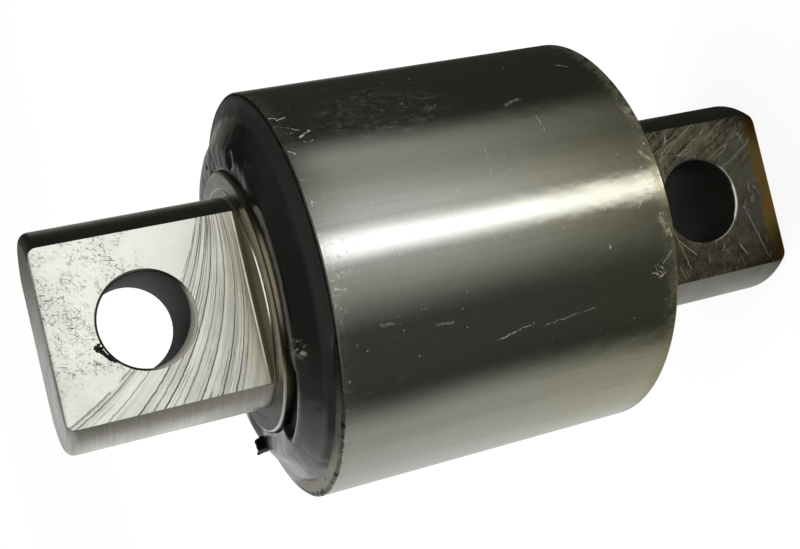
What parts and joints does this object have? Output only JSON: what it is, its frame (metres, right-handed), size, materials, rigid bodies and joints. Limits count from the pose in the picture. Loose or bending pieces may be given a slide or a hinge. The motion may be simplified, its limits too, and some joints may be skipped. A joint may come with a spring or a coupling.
{
  "type": "rubber metal bush",
  "caption": "Bonded rubber and steel bush for a suspension rod: a sleeve to press into an eye, and a pin whose flatted ends bolt to brackets.",
  "frame": {"origin": "centre of the bush, halfway along the pin on its axis", "axes": "+Z along the pin's axis, the same at both ends; the flats of both ends face along Y, so the bolt holes run along Y"},
  "size_m": [0.087, 0.087, 0.169],
  "materials": {
    "sleeve_steel": "turned and lightly polished, with nicks at the rims",
    "bonded_rubber": "moulded black rubber, semi-gloss, with flash and a torn lip",
    "pin_steel": "turned sides, bright milled flats with tool marks and pits"
  },
  "bodies": {
    "root": {"outer_sleeve": "sleeve_steel", "rubber_body": "bonded_rubber", "pin": "pin_steel"}
  },
  "joints": []
}
